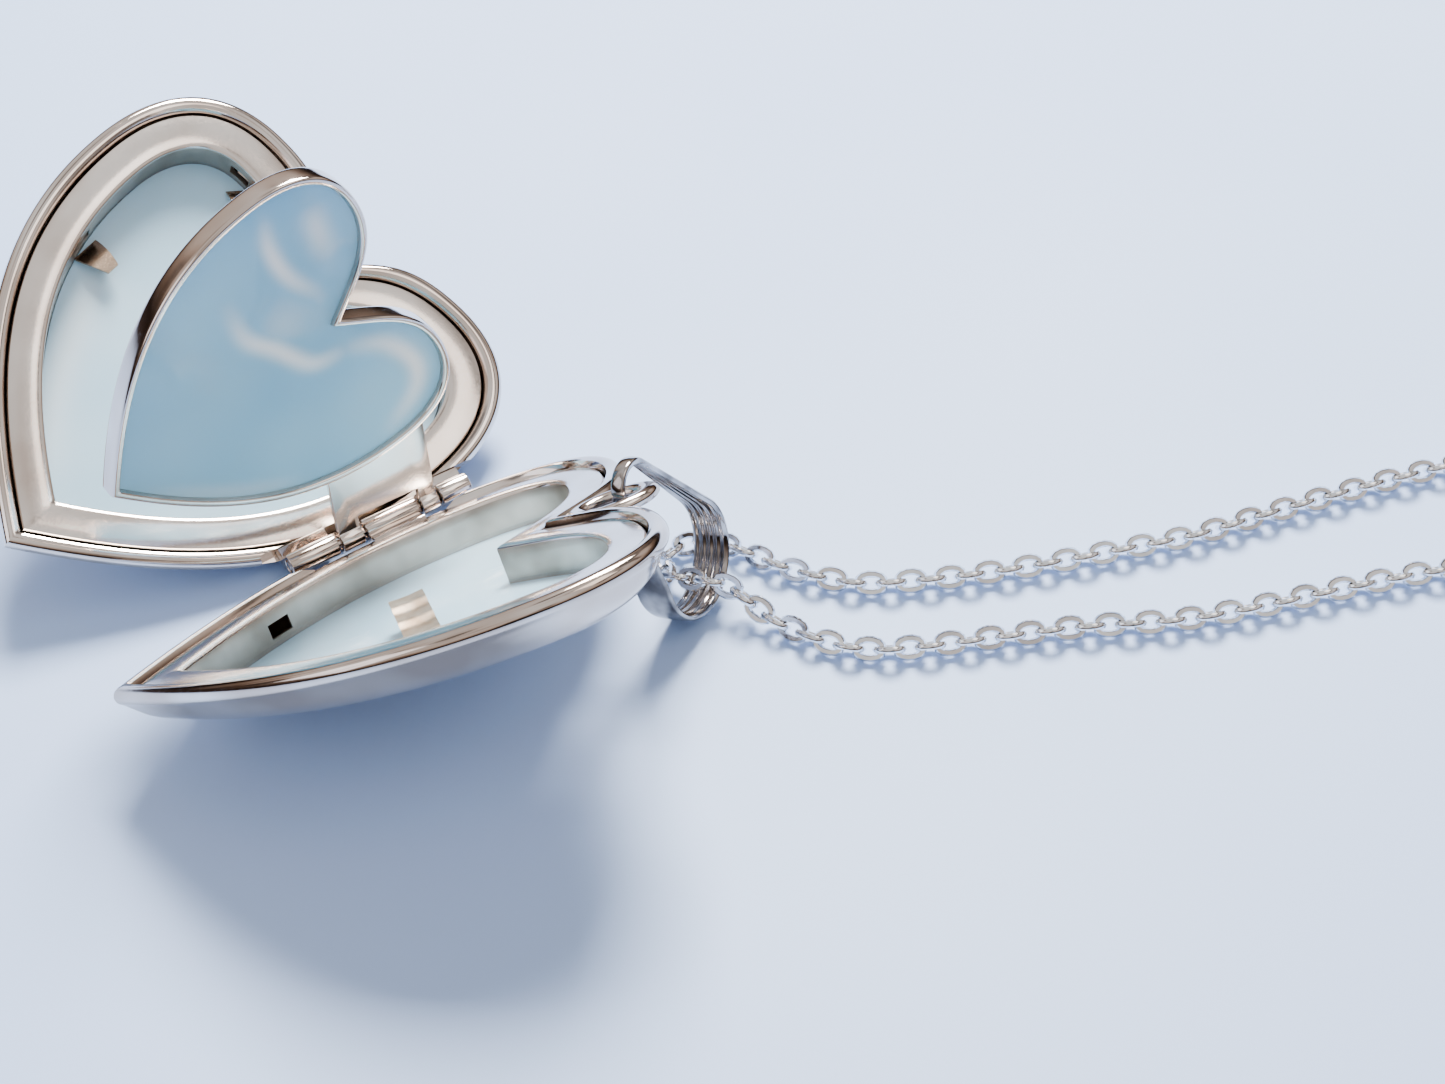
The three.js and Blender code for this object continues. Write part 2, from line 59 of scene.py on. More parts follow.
# %% The hinge frames
MM = 0.001
pin_low, pin_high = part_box("hinge_pin")
hinge = np.array([
    (pin_low[0] + pin_high[0]) / 2 + 0.25 * MM,
    (pin_low[1] + pin_high[1]) / 2,
    (pin_low[2] + pin_high[2]) / 2,
]) / MM
rest_lean = math.radians(32.36)
leaf_angle = math.radians(54)
along_pin = np.array([1.0, 0.0, 0.0])
back_t = np.array([0, math.cos(rest_lean), math.sin(rest_lean)])
back_n = np.array([0, -math.sin(rest_lean), math.cos(rest_lean)])
front_t = back_t * [1, -1, 1]
front_n = back_n * [1, -1, 1]
leaf_t = back_t * math.cos(leaf_angle) + back_n * math.sin(leaf_angle)
leaf_n = back_n * math.cos(leaf_angle) - back_t * math.sin(leaf_angle)
BACK = (back_t, back_n)
FRONT = (front_t, front_n)
LEAF = (leaf_t, leaf_n)
print("hinge at", hinge.round(3), "mm")


def settle(points, side):
    """Turns points (s along the pin, t across, n out of the face) to row-frame mm."""
    t, n = side
    return hinge + points[..., :1] * along_pin + points[..., 1:2] * t + points[..., 2:3] * n


# %% [markdown]
# ## Mesh helpers
# A surface is a grid of points, rows by columns, worked out by numpy.  Joining the
# grid's neighbours gives its faces.  A row that closes on itself makes a tube.

# %% Grids
def grid_faces(rows, columns, close_rows, close_columns):
    """Quads between neighbours on a grid, with an optional join of last to first."""
    r = np.arange(rows if close_rows else rows - 1)
    c = np.arange(columns if close_columns else columns - 1)
    r, c = np.meshgrid(r, c, indexing="ij")
    r2, c2 = (r + 1) % rows, (c + 1) % columns
    quads = np.stack([r * columns + c, r * columns + c2, r2 * columns + c2, r2 * columns + c], -1)
    return quads.reshape(-1, 4)


def outward(points, faces):
    """Faces flipped where the solid's signed volume is negative: corners dotted with areas."""
    a, b, c = (points[faces[:, k]] for k in (0, 1, 2))
    d = points[faces[:, -1]]
    middle = points.mean(0)
    volume = np.einsum("ij,ij->i", a - middle, np.cross(b - middle, c - middle)).sum()
    volume += np.einsum("ij,ij->i", a - middle, np.cross(c - middle, d - middle)).sum()
    return faces[:, ::-1] if volume < 0 else faces


def closed_faces(points, quads, ends):
    """Quads and end faces in one list, all turned over where the quads point inwards."""
    turned = not np.array_equal(outward(points, quads), quads)
    return [list(f[::-1]) if turned else list(f) for f in [*quads, *ends]]


def piece(name, points, faces, body, sharp=35):
    """A mesh object from mm points and a list of face arrays, smooth but for sharp edges."""
    mesh = bpy.data.meshes.new(name)
    mesh.from_pydata((points * MM).tolist(), [], [list(map(int, f)) for f in faces])
    mesh.validate()
    mesh.shade_smooth()
    mesh.set_sharp_from_angle(angle=math.radians(sharp))
    obj = bpy.data.objects.new(name, mesh)
    bpy.context.scene.collection.objects.link(obj)
    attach(obj, body)
    return obj


def fan(start, count, middle, flip):
    """Triangles from a row of points to one middle point."""
    i = np.arange(count)
    j = (i + 1) % count
    ring = (start + j, start + i) if flip else (start + i, start + j)
    return np.stack([np.full(count, middle), *ring], -1)


# %% [markdown]
# ## The heart
# One half is three Bezier curves: cleft to lobe, lobe to widest place, and down to
# the tip.  The other half is its mirror.  The inset moves the outline inwards, so
# the bead, flange and well all follow the same heart.

# %% The heart outline
heart_width, heart_height, cleft_height = 28.0, 28.5, 24.4
lobe_x, widest_height = 7.2, 20.8
cleft_angle, tip_angle = 0.7, 0.98
hinge_x, hinge_y, flank_angle = 13.08, 15.5, math.radians(18.07)


def bezier(a, b, c, d, count):
    """Cubic Bezier: weights v3, 3v2u, 3vu2 and u3 on the four points."""
    u = (np.arange(count) / count)[:, None]
    v = 1 - u
    return v**3 * a + 3 * v * v * u * b + 3 * v * u * u * c + u**3 * d


def heart(inset, fine=5, drop=0.0):
    """Closed heart outline at an inset, as (count, 2) mm points, cleft first."""
    cleft = np.array([0, cleft_height - 1.25 * inset - drop])
    top = np.array([lobe_x, heart_height - inset])
    side = np.array([heart_width / 2 - inset, widest_height])
    tip = np.array([0, inset / math.sin(tip_angle)])
    across = (side[0] - top[0]) / (heart_width / 2 - lobe_x)
    down = (top[1] - side[1]) / (heart_height - widest_height)
    flank = (side[1] - tip[1]) / widest_height
    lift = np.array([math.sin(cleft_angle), math.cos(cleft_angle)])
    pull = np.array([math.sin(tip_angle), math.cos(tip_angle)])
    half = np.concatenate([
        bezier(cleft, cleft + 3.1 * lift, top - [4.4 - 0.3 * inset, 0], top, 8 * fine),
        bezier(top, top + [4.5 * across, 0], side + [0, 4.8 * down], side, 9 * fine),
        bezier(side, side - [0, 10.2 * flank], tip + 8 * flank * pull, tip, 17 * fine),
    ])
    return np.concatenate([half, tip[None], half[:0:-1] * [-1, 1]])


def to_hinge(points):
    """Heart x, y turned to s along the pin and t across the shell."""
    x, y = points[..., 0] - hinge_x, points[..., 1] - hinge_y
    s = x * math.sin(flank_angle) + y * math.cos(flank_angle)
    t = -x * math.cos(flank_angle) + y * math.sin(flank_angle)
    return np.stack([s, t], -1)


def to_leaf(points, scale=0.743):
    """The leaf's heart: smaller about the middle, and moved a little on the pin."""
    small = np.stack([points[..., 0] * scale, 16 + (points[..., 1] - 16) * scale], -1)
    return to_hinge(small) + [-0.8, 0.45]


def rings_to_points(rings, turn, side):
    """Rings of (outline, level) as one block of row-frame points."""
    flat = np.stack([np.c_[turn(o), np.broadcast_to(level, len(o))] for o, level in rings])
    return settle(flat, side)


print("heart outline has", len(heart(0)), "points")

# %% [markdown]
# ## Camera and table
# A short telephoto lens looks down on the locket from beyond the heart's tip, so the
# back shell is seen face on and the front shell almost edge on.

# %% Camera
camera_data = bpy.data.cameras.new("camera")
camera_data.lens = 65.4
camera_data.sensor_width = 36
camera_data.sensor_fit = "HORIZONTAL"
camera_data.clip_start = 0.005
camera = bpy.data.objects.new("camera", camera_data)
bpy.context.scene.collection.objects.link(camera)
eye = (hinge + [-42.22, -99.03, 99.41]) * MM
forward = np.array([0.3937, 0.6038, -0.6931])
forward /= np.linalg.norm(forward)
upward = np.array([0.4107, 0.5590, 0.7203])
rightward = np.cross(forward, upward)
rightward /= np.linalg.norm(rightward)
upward = np.cross(rightward, forward)
pose = np.eye(4)
pose[:3, 0], pose[:3, 1], pose[:3, 2], pose[:3, 3] = rightward, upward, -forward, eye
camera.matrix_world = Matrix(pose.tolist())
bpy.context.scene.camera = camera
print("camera at", eye.round(4))

# %% The table
def plane(name, half):
    """A flat square at height zero, its corners at plus and minus half."""
    corners = half * np.array([[-1.0, -1, 0], [1, -1, 0], [1, 1, 0], [-1, 1, 0]])
    mesh = bpy.data.meshes.new(name)
    mesh.from_pydata(corners.tolist(), [], [[0, 1, 2, 3]])
    obj = bpy.data.objects.new(name, mesh)
    bpy.context.scene.collection.objects.link(obj)
    return obj


table_top = plane("table_top", 1.5)
print("table:", table_top.name)

# %% [markdown]
# ## Light
# Polished metal shows what is around it.  A room that is bright above and darker at
# the horizon gives it the light tops and dark edges that a white cloth tent gives.
# The key lamp stands behind and to the right, and a weaker one fills from the left.  A
# third hangs over the front, where the back flange mirrors it.

# %% Lamps and room
def linear(hexcode):
    """sRGB hex to the linear colour that the shaders work in."""
    srgb = np.array([int(hexcode[k:k + 2], 16) / 255 for k in (1, 3, 5)])
    return (*np.where(srgb <= 0.04045, srgb / 12.92, ((srgb + 0.055) / 1.055) ** 2.4), 1.0)


def lamp(name, direction, distance, size, power, colour):
    """A square area lamp on a sphere round the locket, facing its middle."""
    data = bpy.data.lights.new(name, "AREA")
    data.size = size
    data.energy = power
    data.color = linear(colour)[:3]
    obj = bpy.data.objects.new(name, data)
    bpy.context.scene.collection.objects.link(obj)
    aim = Vector(direction).normalized()
    obj.location = aim * distance
    obj.rotation_euler = aim.to_track_quat("Z", "Y").to_euler()
    return obj


lamp("key", (0.55, 0.62, 1.0), 0.42, 0.16, 6.4, "#FFFBF6")
lamp("fill", (-1.0, 0.15, 0.7), 0.5, 0.3, 0.45, "#EEF2FF")
lamp("front", (0.32, -0.42, 0.85), 0.6, 0.24, 0.42, "#FFF6EE")


def node(tree, kind, settings=None, links=None):
    """Adds one shader node; settings go by socket or property name, links by input socket."""
    made = tree.nodes.new(kind)
    for key, value in (settings or {}).items():
        if key in made.inputs:
            made.inputs[key].default_value = value
        else:
            setattr(made, key, value)
    for key, source in (links or {}).items():
        tree.links.new(source, made.inputs[key])
    return made


def ramp(tree, source, stops):
    """A colour ramp through (place, hex) stops."""
    made = node(tree, "ShaderNodeValToRGB", links={"Fac": source})
    elements = made.color_ramp.elements
    while len(elements) < len(stops):
        elements.new(0.5)
    for element, (place, colour) in zip(elements, stops):
        element.position = place
        element.color = linear(colour)
    return made.outputs["Color"]


room = bpy.data.worlds.new("light_tent")
room.use_nodes = True
tree = room.node_tree
tree.nodes.clear()
where = node(tree, "ShaderNodeTexCoord").outputs["Generated"]
split = node(tree, "ShaderNodeSeparateXYZ", links={"Vector": where})
tent = ramp(tree, split.outputs["Z"], [
    (0.0, "#4A3C36"), (0.12, "#2E2522"), (0.26, "#8F7C70"), (0.42, "#F3E7DF"), (0.7, "#FFFFFF"),
])
folds = node(tree, "ShaderNodeTexNoise", {"Scale": 2.3, "Detail": 1.0}, {"Vector": where})
shade = ramp(tree, folds.outputs["Fac"], [(0.4, "#4B3F3A"), (0.47, "#E9DDD6"), (0.56, "#FFFFFF")])
layered = node(tree, "ShaderNodeMix", {"data_type": "RGBA", "blend_type": "MULTIPLY"})
layered.inputs["Factor"].default_value = 0.8
tree.links.new(tent, layered.inputs[6])
tree.links.new(shade, layered.inputs[7])
glow = node(tree, "ShaderNodeBackground", {"Strength": 0.9}, {"Color": layered.outputs[2]})
node(tree, "ShaderNodeOutputWorld", links={"Surface": glow.outputs["Background"]})
bpy.context.scene.world = room

# %% [markdown]
# ## Finishes
# Rhodium plate is a hard, mirror-bright white metal, a little warm here.  The pressed
# inner parts are duller: rolling and tumbling leave fine grain that spreads the
# light.  Every finish reads Object coordinates, so its grain has a size in mm.

# %% Metals
def start(name):
    """An empty material with a Principled shader, its tree and Object coordinates."""
    made = bpy.data.materials.new(name)
    made.use_nodes = True
    tree = made.node_tree
    shader = tree.nodes["Principled BSDF"]
    place = node(tree, "ShaderNodeTexCoord").outputs["Object"]
    return made, tree, shader, place


def grain(tree, place, size_mm, detail=3.0, stretch=(1, 1, 1)):
    """Noise whose blobs measure size_mm, stretched along an axis where asked."""
    turned = node(tree, "ShaderNodeMapping", {"Scale": stretch}, {"Vector": place})
    return node(
        tree, "ShaderNodeTexNoise",
        {"Scale": 1 / (size_mm * MM), "Detail": detail},
        {"Vector": turned.outputs["Vector"]},
    ).outputs["Fac"]


def between(tree, source, low, high):
    """Maps noise from its usual 0.3 to 0.7 to low and high."""
    return node(
        tree, "ShaderNodeMapRange",
        {"From Min": 0.3, "From Max": 0.7, "To Min": low, "To Max": high},
        {"Value": source},
    ).outputs["Result"]


def bump(tree, source, strength, height_mm):
    """A bump of that height from a grey pattern."""
    return node(
        tree, "ShaderNodeBump", {"Strength": strength, "Distance": height_mm * MM},
        {"Height": source},
    ).outputs["Normal"]


def metal(name, dark, light, rough, patch_mm, scratch_mm, relief_mm, stretch=(1, 1, 1)):
    """Plated metal: slow colour patches, roughness that varies, and fine scratches as bump."""
    made, tree, shader, place = start(name)
    patches = grain(tree, place, patch_mm, 2.0)
    tree.links.new(ramp(tree, patches, [(0.35, dark), (0.65, light)]), shader.inputs["Base Color"])
    shader.inputs["Metallic"].default_value = 1.0
    scratches = grain(tree, place, scratch_mm, 5.0, stretch)
    tree.links.new(between(tree, scratches, *rough), shader.inputs["Roughness"])
    tree.links.new(bump(tree, scratches, 0.35, relief_mm), shader.inputs["Normal"])
    return made


# Rhodium over brass, buffed on a wheel: mirror bright, warm in places, with faint hairlines.
rhodium = metal("rhodium_plate_buffed", "#C9B8AC", "#E9DFD8", (0.05, 0.12), 6, 0.35, 0.004)
# Pressed sheet, tumbled: a pale satin that shows no sharp reflections.
satin = metal("pressed_sheet_tumbled", "#D8CAC0", "#F3EAE3", (0.1, 0.2), 5, 0.12, 0.004)
# The wells' walls get a darker, greyer copy of the pressed satin, which paints the shade in the
# recess; their higher roughness is real.
wall_satin_painted_shade = metal("pressed_wall_painted_shade", "#A3968A", "#CDC1B6", (0.28, 0.4), 3, 0.15, 0.006)
# The bail's ribbon gets a darker, greyer copy of the mirror finish.
bail_plate = metal("bail_plate_dark", "#7A7370", "#C2BBB7", (0.05, 0.12), 1.6, 0.3, 0.004)
# Unplated nickel silver of the card tongues: tan, rolled lengthwise.
nickel = metal("nickel_silver_rolled", "#9A8470", "#C7B29D", (0.18, 0.3), 2, 0.15, 0.006, (1, 6, 6))
# The spring strip is the same metal left matt, a soft beige.
matt_nickel = metal("nickel_silver_matt", "#B79C82", "#D5BFA8", (0.34, 0.46), 1.2, 0.2, 0.01)
# Diamond-cut cable links: the brightest and whitest metal here.
cut_silver = metal("silver_chain_diamond_cut", "#E6E8EC", "#FBFCFF", (0.06, 0.14), 1.5, 0.25, 0.003)
print("metals:", rhodium.name, satin.name, nickel.name, cut_silver.name)

# %% [markdown]
# ## Film and card
# Each picture well holds a pale card under thin acetate film.  Film this thin is
# never flat: it ripples, and the ripples catch the light as white streaks; here those
# highlights are painted into the card's colour.

# %% Film and card
def card_finish(name, low, high, painted_highlight, coat, ripple_mm):
    """Coated card: slow colour change, painted highlight streaks from the mesh's own attribute, a
    rippled coat.
    """
    made, tree, shader, place = start(name)
    slow = grain(tree, place, 9, 1.0)
    base = ramp(tree, slow, [(0.32, low), (0.68, high)])
    # Painted highlight: the white streak colour is mixed into the card's colour where the mesh's
    # attribute says.
    share = node(tree, "ShaderNodeAttribute", {"attribute_name": "painted_highlight"}).outputs["Fac"]
    card_and_painted_highlight = node(tree, "ShaderNodeMix", {"data_type": "RGBA"})
    tree.links.new(share, card_and_painted_highlight.inputs["Factor"])
    tree.links.new(base, card_and_painted_highlight.inputs[6])
    card_and_painted_highlight.inputs[7].default_value = linear(painted_highlight)
    tree.links.new(card_and_painted_highlight.outputs[2], shader.inputs["Base Color"])
    shader.inputs["Roughness"].default_value = 0.5
    shader.inputs["Coat Weight"].default_value = coat
    shader.inputs["Coat Roughness"].default_value = 0.05
    ripples = grain(tree, place, ripple_mm, 1.5)
    tree.links.new(bump(tree, ripples, 0.5, 0.1), shader.inputs["Coat Normal"])
    return made


# Pale blue card, seen through the film, with near-white painted highlight streaks.
pale_card = card_finish("pale_blue_card", "#9BD0EC", "#BCE3F7", "#F7FCFF", 0.35, 5)
# The leaf's card is a stronger sky blue, with white painted highlight streaks, and its film ripples
# more.
sky_card = card_finish("sky_blue_card", "#4FB0DA", "#86CBE8", "#FFFFFF", 0.5, 4)
# Clear acetate film, 0.2 mm: nearly invisible, but for its gloss.
film, film_tree, film_shader, film_place = start("clear_acetate_film")
film_shader.inputs["Base Color"].default_value = linear("#EAF5FB")
film_shader.inputs["Roughness"].default_value = 0.04
film_shader.inputs["IOR"].default_value = 1.48
film_shader.inputs["Alpha"].default_value = 0.08
film_ripple = grain(film_tree, film_place, 4, 1.5)
film_tree.links.new(bump(film_tree, film_ripple, 0.5, 0.1), film_shader.inputs["Normal"])

# %% [markdown]
# The table is a sheet of pale lavender paper, slightly soft to the light.

# %% Table finish
paper, tree, shader, place = start("lavender_paper")
tree.links.new(
    ramp(tree, grain(tree, place, 60, 2.0), [(0.3, "#A9C6F6"), (0.7, "#B4CFFA")]),
    shader.inputs["Base Color"],
)
shader.inputs["Roughness"].default_value = 0.55
tree.links.new(bump(tree, grain(tree, place, 0.4, 4.0), 0.2, 0.02), shader.inputs["Normal"])
table_top.data.materials.append(paper)


def dress(obj, finish):
    """Gives a piece its one finish."""
    obj.data.materials.clear()
    obj.data.materials.append(finish)
    return obj


# %% [markdown]
# ## Joining a stack of heart rings
# A shell, a film or a card is a stack of heart outlines.  Each outline has the same
# number of points, so neighbours join as quads.  The ends shrink to one point.

# %% Stacks
heart_middle = (0.0, 15.5)


def stack_piece(name, rings, turn, side, body, looped=False):
    """Outlines (count, 2) at levels, joined; both ends close at a middle point unless looped."""
    points = rings_to_points(rings, turn, side)
    rows, columns = points.shape[:2]
    flat = points.reshape(-1, 3)
    quads = grid_faces(rows, columns, looped, True)
    ends = []
    if not looped:
        centre = turn(np.array([heart_middle]))[0]
        levels = [float(np.mean(level)) for level in (rings[0][1], rings[-1][1])]
        flat = np.concatenate([flat, settle(np.array([[*centre, n] for n in levels]), side)])
        total = rows * columns
        ends = [*fan(0, columns, total, True), *fan(total - columns, columns, total + 1, False)]
    return piece(name, flat, closed_faces(flat, quads, ends), body)


def smooth_profile(points, count):
    """A curve through a list of (inset, level) points: Catmull-Rom, evenly stepped."""
    p = np.array(points, float)
    p = np.concatenate([2 * p[:1] - p[1:2], p, 2 * p[-1:] - p[-2:-1]])
    spans = len(p) - 3
    u = np.linspace(0, spans - 1e-9, count)
    k = u.astype(int)
    f = (u - k)[:, None]
    a, b, c, d = p[k], p[k + 1], p[k + 2], p[k + 3]
    square, cube = 2 * a - 5 * b + 4 * c - d, 3 * b - a - 3 * c + d
    return 0.5 * (2 * b + (c - a) * f + square * f**2 + cube * f**3)


def towards_middle(outline, share):
    """An outline scaled about the heart's middle."""
    return np.array(heart_middle) + (outline - heart_middle) * share


def cut_away(obj, corners, side):
    """Cuts a box, given by its lowest and highest (s, t, n), out of a piece, and keeps the result."""
    low, high = np.array(corners, float)
    pick = np.array([[i & 1, i >> 1 & 1, i >> 2 & 1] for i in range(8)])
    points = settle(low + (high - low) * pick, side) * MM
    quads = [(0, 1, 3, 2), (4, 6, 7, 5), (0, 4, 5, 1), (2, 3, 7, 6), (0, 2, 6, 4), (1, 5, 7, 3)]
    mesh = bpy.data.meshes.new("cutter")
    mesh.from_pydata(points.tolist(), [], quads)
    quad = np.array(quads)
    if not np.array_equal(outward(points, quad), quad):
        mesh.flip_normals()
    cutter = bpy.data.objects.new("cutter", mesh)
    bpy.context.scene.collection.objects.link(cutter)
    change = obj.modifiers.new("cut", "BOOLEAN")
    change.operation = "DIFFERENCE"
    change.solver = "EXACT"
    change.object = cutter
    seen = obj.evaluated_get(bpy.context.evaluated_depsgraph_get())
    done = bpy.data.meshes.new_from_object(seen)
    obj.modifiers.clear()
    obj.data = done
    done.shade_smooth()
    done.set_sharp_from_angle(angle=math.radians(30))
    bpy.data.objects.remove(cutter)
    return obj


# %% [markdown]
# ## The two shells
# Each shell is pressed from sheet: a domed back, a rounded bead at the edge, and a
# wall that turns down inside it.  Its section is drawn once, from the middle of the
# back, round the bead and in again, and is carried round the heart.

# %% Shells
face_level = -0.15
outside = [
    (4.5, -3.5), (3, -3.15), (2, -2.75), (1.2, -2.2), (0.7, -1.65), (0.34, -1.2),
    (0.1, -0.95), (0.02, -0.65), (0.12, -0.36), (0.34, -0.19), (0.6, face_level), (0.85, -0.22),
]
inside = [
    (1.0, -0.5), (1.03, -0.9), (1.05, -1.45), (1.45, -1.95), (2.1, -2.38), (3.1, -2.86),
    (4.5, -3.15),
]
front_gap = ((-6.3, -2, -1.1), (5.8, 1.25, 1.2))
back_gap = ((-7, -2, -1.1), (6.6, 1.25, 1.2))


def shell(name, side, body, hinge_gap):
    """Section rings: the middle of the back, the smooth outside and the smooth inside."""
    middle = heart(4.5)
    rings = [(towards_middle(middle, a), b) for a, b in
             [(0.05, -3.86), (0.2, -3.858), (0.4, -3.84), (0.6, -3.79), (0.8, -3.69)]]
    rings += [(heart(max(i, 0)), n) for i, n in smooth_profile(outside, 44)]
    rings += [(heart(i), n) for i, n in smooth_profile(inside, 14)]
    rings += [(towards_middle(middle, a), b) for a, b in [(0.7, -3.4), (0.35, -3.5), (0.05, -3.51)]]
    made = stack_piece(name, rings, to_hinge, side, body)
    cut_away(made, hinge_gap, side)
    return dress(made, rhodium)


front_dome = shell("front_dome", FRONT, "front", front_gap)
back_dome = shell("back_dome", BACK, "back", back_gap)
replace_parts(front_dome, "front_shell")
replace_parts(back_dome, "back_shell")
print("dome faces:", len(front_dome.data.polygons))

# %% [markdown]
# ## The liners
# A flat satin flange lies inside the bead, with a soft lip where the well's wall
# turns down.  Small notches are punched low in the wall.  The little tabs pushed out
# of them hold a card; the back liner's two notches each get a bent tongue of the same sheet.

# %% Liners
aperture, well_floor, wall_top = 3.1, -2.6, -0.62
liner_section = [
    (1.12, -0.78), (1.13, -0.6), (1.2, -0.5), (1.5, -0.455), (1.9, -0.43), (2.3, -0.425),
    (2.65, -0.44), (2.85, -0.47), (2.98, -0.51), (3.07, -0.57), (aperture, -0.66), (aperture, -1.2),
    (aperture, -1.9), (aperture, well_floor), (2.85, well_floor), (2.85, -1.8), (2.85, -0.85),
    (2.6, -0.8), (1.6, -0.8),
]


def liner(name, side, body, hinge_gap, notches):
    """The closed section carried round the heart, less the hinge gap and the notches."""
    rings = [(heart(i), n) for i, n in liner_section]
    made = stack_piece(name, rings, to_hinge, side, body, looped=True)
    cut_away(made, hinge_gap, side)
    for s, t, half in notches:
        cut_away(made, ((s - half, t - half, -2.1), (s + half, t + half, -1.3)), side)
    dress(made, satin).data.materials.append(wall_satin_painted_shade)
    count = len(made.data.vertices)
    points = np.empty(count * 3)
    made.data.vertices.foreach_get("co", points)
    depth = (points.reshape(-1, 3) / MM - hinge) @ side[1]
    # Faces below wall_top take the darker wall finish, which paints the well's shade.
    shaded_wall = [depth[list(face.vertices)].mean() < wall_top for face in made.data.polygons]
    made.data.polygons.foreach_set("material_index", [int(w) for w in shaded_wall])
    return made


front_flange = liner("front_flange", FRONT, "front", front_gap, [(-8.8, 4.7, 0.7)])
back_flange = liner("back_flange", BACK, "back", back_gap, [(2.9, 22.4, 0.65), (-6.9, 22.4, 0.65)])
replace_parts(front_flange, "front_liner")
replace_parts(back_flange, "back_liner")


def tongue(name, side, body, foot, heading, width, length, rise):
    """A curled tongue: width tapers along it, and its height is rise times a sine quarter."""
    u = np.linspace(0, 1, 9)[:, None]
    v = np.linspace(-1, 1, 7)[None, :]
    gauge = 0.16
    ahead = np.array([math.cos(heading), math.sin(heading)])
    beside = np.array([-ahead[1], ahead[0]])
    half = width / 2 * (1 - 0.55 * u**1.5)
    flat = np.array(foot[:2]) + (u * length)[..., None] * ahead + (v * half)[..., None] * beside
    level = foot[2] + rise * np.sin(u * math.pi / 2) + 0 * v
    top = np.concatenate([flat, level[..., None]], -1)
    under = top - [0, 0, gauge]
    loop = np.concatenate([top, under[:, ::-1]], 1)
    points = settle(loop, side).reshape(-1, 3)
    count = 2 * v.size
    quads = grid_faces(u.size, count, False, True)
    ends = [list(range(count))[::-1], [(u.size - 1) * count + k for k in range(count)]]
    every = closed_faces(points, quads, ends)
    return dress(piece(name, points, every, body), nickel)


tongue("back_tongue_outer", BACK, "back", (-6.8, 22.0, -2.25), math.radians(-70), 1.7, 2.1, 0.75)
tongue("back_tongue_lobe", BACK, "back", (2.6, 21.9, -2.25), math.radians(-110), 1.1, 0.9, 0.4)

# %% [markdown]
# ## Cards and films
# The card is a plain heart.  The film above it ripples: its height is two crossed
# sine waves of small size, which vanish towards its edge, where it is held down.
# The highlights along the creases are too fine for that, so they are painted on the card as white
# streaks.

# %% Wells
shares = np.linspace(0.02, 1, 40)


def paint_highlight_streaks(obj, turn, side, lines):
    """Stores the painted highlight: how white each point is, by bell curves of the distance to a few
    crest lines.
    """
    points = np.empty(len(obj.data.vertices) * 3)
    obj.data.vertices.foreach_get("co", points)
    away = points.reshape(-1, 3) / MM - hinge
    flat = np.stack([away @ along_pin, away @ side[0]], -1)
    total = np.zeros(len(flat))
    for width, strength, crest in lines:
        way = turn(smooth_profile(crest, 60))
        gap = np.linalg.norm(flat[:, None] - way[None], axis=2)
        fade = np.sin(np.linspace(0.15, math.pi - 0.15, 60))[gap.argmin(1)]
        total = np.maximum(total, strength * fade * np.exp(-(gap.min(1) / width) ** 2))
    layer = obj.data.attributes.new("painted_highlight", "FLOAT", "POINT")
    layer.data.foreach_set("value", total)
    return obj


def sheet_heart(name, outline, levels, turn, side, body, ripple=0.0):
    """Two skins, lower then upper, each a set of shrunken outlines with a rippled height."""
    def skin(level, order):
        rows = []
        for a in order:
            o = towards_middle(outline, a)
            waves = np.sin(o[:, 0] * 0.9 + 0.4 * o[:, 1]) * np.sin(o[:, 1] * 0.55 - 1.1)
            rows.append((o, level + ripple * waves * (1 - a**4)))
        return rows
    low, high = levels
    rings = skin(low, shares) + skin(high, shares[::-1])
    return stack_piece(name, rings, turn, side, body)


window_top = -2.3
for side, body in ((FRONT, "front"), (BACK, "back")):
    pad = sheet_heart(
        f"{body}_card", heart(3.15), (-2.67, -2.53), to_hinge, side, body,
    )
    # Painted highlights: white streaks along these crest lines, painted into the card's colour.
    paint_highlight_streaks(pad, to_hinge, side, [
        (1.1, 0.55, [(-10.2, 19), (-7.5, 13), (-4.5, 8), (-1.2, 4.6)]),
        (0.9, 0.35, [(4, 22), (7.5, 22.5), (10, 20)]),
    ])
    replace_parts(dress(pad, pale_card), f"{body}_photo_card")
    clear = sheet_heart(
        f"{body}_film", heart(3.13), (window_top - 0.15, window_top), to_hinge, side, body,
        0.05,
    )
    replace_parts(dress(clear, film), f"{body}_window")
print("wells done")

# %% [markdown]
# ## The spring
# A stepped strip lies on the front window.  Each step is a soft wave pressed across
# the strip, so it shines in bands.  Its height climbs towards the hinge.

# %% Spring strip
strip_width, strip_start, strip_turn = 1.85, (-7.3, 20.1), math.radians(15.5)
strip_steps = [
    (0, 0), (1.9, 0), (2.3, 0.4), (3.9, 0.4),
    (4.3, 0.75), (5.7, 0.75), (6.1, 1.1), (7.5, 1.1),
]


